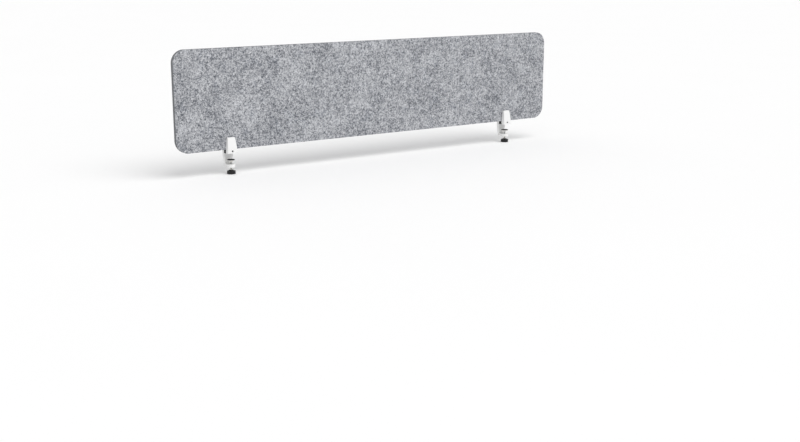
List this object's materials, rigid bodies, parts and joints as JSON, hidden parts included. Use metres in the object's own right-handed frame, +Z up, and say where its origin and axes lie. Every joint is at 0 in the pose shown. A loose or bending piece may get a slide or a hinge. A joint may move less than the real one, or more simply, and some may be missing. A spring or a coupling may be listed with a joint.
{
  "type": "desk privacy panel",
  "caption": "Long low felt screen with rounded corners that stands along a desktop's rear edge in a pair of screw clamps.",
  "frame": {"origin": "at the desktop's rear edge, on its upper face, under the middle of the panel", "axes": "+X along the panel, +Y rearwards away from the seat, +Z up"},
  "size_m": [1.8, 0.0523, 0.483],
  "materials": {
    "felt": "heathered light grey needled felt",
    "white_coat": "white powder coat on a die casting, fine texture",
    "black_plastic": "black moulded, fine spark texture",
    "black_rubber": "black, matt",
    "black_steel": "black oxide",
    "zinc_steel": "bright zinc plate",
    "spring_steel": "phosphated spring steel"
  },
  "bodies": {
    "panel": {"front_felt_board": "felt", "rear_felt_board": "felt"},
    "left_clamp": {"left_clamp_body": "white_coat", "left_seat_block": "black_plastic", "left_desk_pad": "black_rubber", "left_rear_jaw_liner": "black_rubber", "left_guide_pins": "zinc_steel"},
    "left_jaw": {"left_front_jaw": "white_coat", "left_front_jaw_liner": "black_rubber"},
    "left_bolt": {"left_jaw_bolt": "black_steel"},
    "left_foot": {"left_pressure_plate": "zinc_steel", "left_pressure_pad": "black_rubber"},
    "left_spindle": {"left_clamp_screw": "zinc_steel", "left_screw_clip": "spring_steel", "left_knob": "black_plastic"},
    "right_clamp": {"right_clamp_body": "white_coat", "right_seat_block": "black_plastic", "right_desk_pad": "black_rubber", "right_rear_jaw_liner": "black_rubber", "right_guide_pins": "zinc_steel"},
    "right_jaw": {"right_front_jaw": "white_coat", "right_front_jaw_liner": "black_rubber"},
    "right_bolt": {"right_jaw_bolt": "black_steel"},
    "right_foot": {"right_pressure_plate": "zinc_steel", "right_pressure_pad": "black_rubber"},
    "right_spindle": {"right_clamp_screw": "zinc_steel", "right_screw_clip": "spring_steel", "right_knob": "black_plastic"}
  },
  "joints": [
    {"name": "left_clamp_slide", "type": "slide", "parent": "panel", "child": "left_clamp", "axis": [1, 0, 0], "range_m": [-0.15, 0.6]},
    {"name": "left_jaw_slide", "type": "slide", "parent": "left_clamp", "child": "left_jaw", "axis": [0, -1, 0], "range_m": [0, 0.0035]},
    {"name": "left_bolt_turn", "type": "hinge", "parent": "left_jaw", "child": "left_bolt", "pos_m": [-0.679, -0.03, 0.009], "axis": [0, -1, 0], "range_deg": [0, 1800]},
    {"name": "left_foot_slide", "type": "slide", "parent": "left_clamp", "child": "left_foot", "axis": [0, 0, 1], "range_m": [-0.01, 0.01]},
    {"name": "left_knob_turn", "type": "hinge", "parent": "left_foot", "child": "left_spindle", "pos_m": [-0.679, -0.02, -0.04], "axis": [0, 0, 1], "range_deg": [-2880, 2880]},
    {"name": "right_clamp_slide", "type": "slide", "parent": "panel", "child": "right_clamp", "axis": [-1, 0, 0], "range_m": [-0.15, 0.6]},
    {"name": "right_jaw_slide", "type": "slide", "parent": "right_clamp", "child": "right_jaw", "axis": [0, -1, 0], "range_m": [0, 0.0035]},
    {"name": "right_bolt_turn", "type": "hinge", "parent": "right_jaw", "child": "right_bolt", "pos_m": [0.679, -0.03, 0.009], "axis": [0, -1, 0], "range_deg": [0, 1800]},
    {"name": "right_foot_slide", "type": "slide", "parent": "right_clamp", "child": "right_foot", "axis": [0, 0, 1], "range_m": [-0.01, 0.01]},
    {"name": "right_knob_turn", "type": "hinge", "parent": "right_foot", "child": "right_spindle", "pos_m": [0.679, -0.02, -0.04], "axis": [0, 0, 1], "range_deg": [-2880, 2880]}
  ],
  "couplings": [
    {"joint": "left_bolt_turn", "follows": "left_jaw_slide", "rad_per_m": 8975.9},
    {"joint": "left_knob_turn", "follows": "left_foot_slide", "rad_per_m": 5026.5},
    {"joint": "right_bolt_turn", "follows": "right_jaw_slide", "rad_per_m": 8975.9},
    {"joint": "right_knob_turn", "follows": "right_foot_slide", "rad_per_m": 5026.5}
  ]
}
